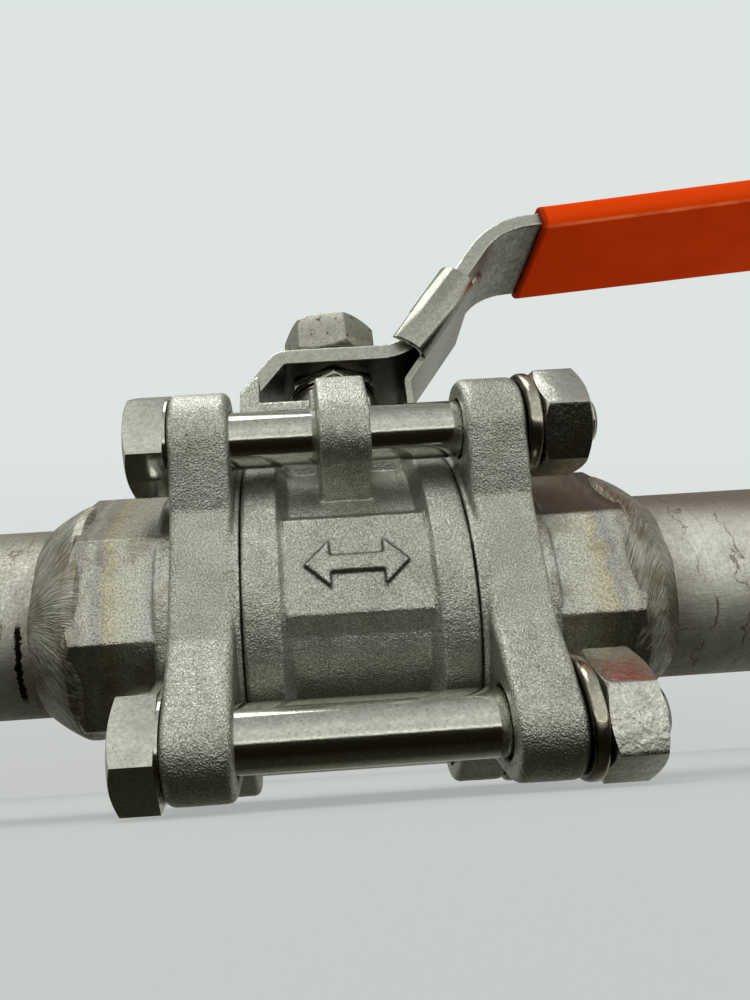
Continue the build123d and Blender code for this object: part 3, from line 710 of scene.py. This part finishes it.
# -------------------------------------------------------------- weld beads
def weld_piece(side):
    """Bead as laid: uneven ripples that sweep back as they cross it."""
    # x and radius across the bead, from the hub to the pipe
    profile = np.array([
        (43.6, 18.9), (44.2, 20.2), (45.2, 21.0), (46.6, 20.95), (47.8, 20.4), (49.2, 19.6),
        (50.6, 18.75), (52.0, 17.8), (53.1, 16.95), (53.5, 16.55), (53.7, 16.2),
    ])
    reach = np.concatenate([[0], np.cumsum(np.hypot(*np.diff(profile, axis=0).T))])
    share = np.linspace(0, 1, WELD_ROWS)
    xs = np.interp(share * reach[-1], reach, profile[:, 0])
    rs = np.interp(share * reach[-1], reach, profile[:, 1])
    turn = np.linspace(0, 2 * np.pi, WELD_STEPS, endpoint=False)
    s, t = np.meshgrid(share, turn, indexing="ij")
    spot = np.stack([s * WELD_WIDTH, WELD_RADIUS * np.cos(t), WELD_RADIUS * np.sin(t)], -1)
    spot = spot.reshape(-1, 3)
    drift = value_noise(spot, 5.0, 21 + side).reshape(s.shape)
    drift2 = value_noise(spot, 1.7, 31 + side).reshape(s.shape)
    if side < 0:
        # two passes met at the front, so the ripples lean the other way below
        sweep = -0.85 * s ** 1.6 * np.tanh(3 * np.sin(t - 3.3))
    else:
        sweep = 0.95 * np.abs(s - 0.68) ** 1.15
    lay = t - sweep + 0.05 * drift + 0.022 * drift2
    at = np.stack([s * WELD_REACH, WELD_RADIUS * np.cos(lay), WELD_RADIUS * np.sin(lay)], -1)
    at = at.reshape(-1, 3)
    ridge = 1 - 2.2 * np.abs(value_noise(at, 0.9, 41 + side).reshape(s.shape))
    ease = np.clip((1 - s) * 14, 0, 1) * np.clip(s * 7, 0, 1)
    height = ease * (0.025 * ridge - 0.03 + 0.10 * drift + 0.04 * drift2)
    r = rs[:, None] + height
    x = xs[:, None] + 0.25 * drift * ease
    inner = np.full(len(turn), WELD_INNER)
    rows = []
    for x_row, r_row in [(xs[0], inner), *zip(x, r), (xs[-1], inner), (xs[0], inner)]:
        along = np.ones(len(turn)) * (side * x_row)
        rows.append(np.stack([along, r_row * np.cos(turn), r_row * np.sin(turn)], -1) * MM)
    name = ("left" if side < 0 else "right") + "_weld"
    mesh = grid_mesh(name, rows)
    for field, values in (("lay", WELD_RADIUS * lay), ("across", WELD_REACH * s)):
        full = np.zeros((len(rows), len(turn)))
        full[1:-2] = values
        add_field(mesh, field, full.ravel())
    soft_shade(mesh, WELD_ANGLE)
    place(name, mesh, name + "_bead", weld)


weld_piece(-1)
weld_piece(1)


# ------------------------------------------------------------ hard pieces
def crisp_piece(name, node, paint, width):
    """Machined piece with its corners eased by width mm."""
    mesh = bevelled_copy(node, width)
    soft_shade(mesh, CRISP_ANGLE)
    place(name, mesh, node, paint)


crisp_piece("left_pipe", "left_pipe_stub", pipe, 0.3)
crisp_piece("right_pipe", "right_pipe_stub", pipe, 0.3)
crisp_piece("bolts", "body_bolts", shank, 0.12)
crisp_piece("nuts", "bolt_nuts", nut_steel, 0.15)
crisp_piece("lever_hex", "lever_nut", lever_hex_steel, 0.15)
crisp_piece("lever_flat_washer", "lever_washer", turned, 0.2)
crisp_piece("packing_hex", "packing_nut", nut_steel, 0.15)
crisp_piece("disc_springs", "belleville_washers", spring, 0.12)
crisp_piece("gland", "gland_ring", turned, 0.15)
crisp_piece("spindle", "stem", turned, 0.1)
crisp_piece("valve_ball", "ball", chrome, 0.3)
crisp_piece("slide", "lock_slide", sheet_steel, 0.22)
for side in ("left", "right"):
    crisp_piece(side + "_seat", side + "_seat_ring", ptfe, 0.1)
    crisp_piece(side + "_gasket", side + "_body_gasket", ptfe, 0.08)
crisp_piece("thrust_washer", "stem_thrust_washer", ptfe, 0.1)
crisp_piece("packing", "stem_packing", ptfe, 0.1)

washers = skin_of("bolt_spring_washers", 0.16, 10)
soft_shade(washers, ALL_SMOOTH)
place("spring_washers", washers, "bolt_spring_washers", spring)

lever_mesh = skin_of("lever", 0.28, 2)
add_corner_bulge(lever_mesh, 1)
soft_shade(lever_mesh, ALL_SMOOTH)
place("lever_plate", lever_mesh, "lever", lever_steel)

grip_mesh = skin_of("lever_grip", 0.32, 7)
co, _, _ = arrays(grip_mesh)
push(grip_mesh, 0.03 * value_noise(co, 9 * MM, 3))
soft_shade(grip_mesh, ALL_SMOOTH)
place("vinyl_grip", grip_mesh, "lever_grip", vinyl)


# ------------------------------------------------------------------- studio
def studio():
    """Pale floor, a room that is pale above and behind and dark low in front, one lamp."""
    floor_mesh = bpy.data.meshes.new("floor")
    low = cad_low.z - FLOOR_GAP
    corners = [(-1, -1), (1, -1), (1, 1), (-1, 1)]
    floor_mesh.from_pydata(
        [(FLOOR_HALF * x, FLOOR_HALF * y, low) for x, y in corners], [], [(0, 1, 2, 3)]
    )
    floor = bpy.data.objects.new("floor", floor_mesh)
    bpy.context.scene.collection.objects.link(floor)
    p = Paint("floor_card", Emission_Color=(0.92, 0.96, 0.94, 1), Emission_Strength=0.385)
    cloud = p.noise(120.0, detail=2.0)
    card = p.ramp(cloud, [(0.3, (0.245, 0.251, 0.245)), (0.7, (0.255, 0.261, 0.255))])
    floor_mesh.materials.append(p.finish(card, 0.9))
    floor.visible_glossy = False

    world = bpy.data.worlds.new("room")
    bpy.context.scene.world = world
    world.use_nodes = True
    tree = world.node_tree

    def along(direction):
        """How far each way of the sky points in a direction, -1 to 1."""
        made = tree.nodes.new("ShaderNodeVectorMath")
        made.operation = "DOT_PRODUCT"
        tree.links.new(sky.outputs["Generated"], made.inputs[0])
        made.inputs[1].default_value = direction
        return made.outputs["Value"]

    def step(value, low, high, kind="SMOOTHSTEP"):
        """0 below low and 1 above high."""
        made = tree.nodes.new("ShaderNodeMapRange")
        made.interpolation_type = kind
        tree.links.new(value, made.inputs["Value"])
        made.inputs["From Min"].default_value = low
        made.inputs["From Max"].default_value = high
        return made.outputs[0]

    def blend(factor, a, b):
        """a where factor is 0, b where it is 1."""
        made = tree.nodes.new("ShaderNodeMix")
        made.data_type = "RGBA"
        tree.links.new(factor, made.inputs["Factor"])
        for socket, value in ((made.inputs[6], a), (made.inputs[7], b)):
            if isinstance(value, tuple):
                socket.default_value = (*value, 1)
            else:
                tree.links.new(value, socket)
        return made.outputs[2]

    sky = tree.nodes.new("ShaderNodeTexCoord")
    lift = along(ROOM_UP)
    back = along(ROOM_BACK)
    front = tree.nodes.new("ShaderNodeValToRGB")
    tree.links.new(step(lift, -1, 1, kind="LINEAR"), front.inputs["Fac"])
    stops = front.color_ramp.elements
    # tones in front of the valve, by lift: dark, then a bright rim, then pale
    levels = [
        (-0.95, (0.030, 0.030, 0.020)), (-0.60, (0.010, 0.008, 0.004)),
        (-0.20, (0.012, 0.011, 0.007)), (0.06, (0.035, 0.033, 0.024)),
        (0.15, (1.50, 1.50, 1.41)), (0.25, (0.95, 0.96, 0.90)), (0.36, (0.82, 0.84, 0.80)),
        (0.65, (0.92, 0.94, 0.90)), (1.0, (0.50, 0.52, 0.50)),
    ]
    while len(stops) < len(levels):
        stops.new(0.5)
    for stop, (at, colour) in zip(stops, levels):
        stop.position = 0.5 + 0.5 * at
        stop.color = (*colour, 1)
    # the pale wall behind is seen as it is, but it lights the valve dimly
    seen = blend(step(lift, -0.46, 0.05), (0.545, 0.560, 0.545), (0.725, 0.775, 0.755))
    felt = blend(step(lift, -1.0, -0.5), (0.10, 0.10, 0.075), (0.36, 0.37, 0.34))
    ray = tree.nodes.new("ShaderNodeLightPath").outputs["Is Camera Ray"]
    room = blend(step(back, -0.15, 0.35), front.outputs["Color"], blend(ray, felt, seen))
    tree.links.new(room, tree.nodes["Background"].inputs["Color"])
    tree.nodes["Background"].inputs["Strength"].default_value = 1.0

    lamp = bpy.data.lights.new("top", "AREA")
    lamp.shape = "RECTANGLE"
    lamp.size, lamp.size_y = 0.7, 0.5
    lamp.energy = 2.5
    light = bpy.data.objects.new("top", lamp)
    light.location = (-0.15, -0.10, 0.75)
    light.rotation_euler = (-light.location).to_track_quat("-Z", "Y").to_euler()
    light.visible_camera = False
    bpy.context.scene.collection.objects.link(light)


studio()

# ------------------------------------------------------------------- camera
lens = bpy.data.cameras.new("camera")
lens.sensor_width = 36.0
lens.lens = 25.92
lens.shift_x, lens.shift_y = 0.059, -0.043
lens.clip_start, lens.clip_end = 0.005, 20.0
camera = bpy.data.objects.new("camera", lens)
right = Vector((0.99796234, -0.0000684, -0.06380563))
up = Vector((0.0582886, -0.40578669, 0.91210723))
ahead = Vector((0.02595385, 0.91396781, 0.40495584))
eye = Vector((-0.00824146, -0.13377989, -0.0290981))
turned_to = Matrix((right, up, -ahead)).transposed().to_4x4()
camera.matrix_world = Matrix.Translation(eye) @ turned_to
bpy.context.scene.collection.objects.link(camera)
bpy.context.scene.camera = camera
bpy.context.scene.view_settings.view_transform = "Standard"
bpy.context.scene.view_settings.look = "None"
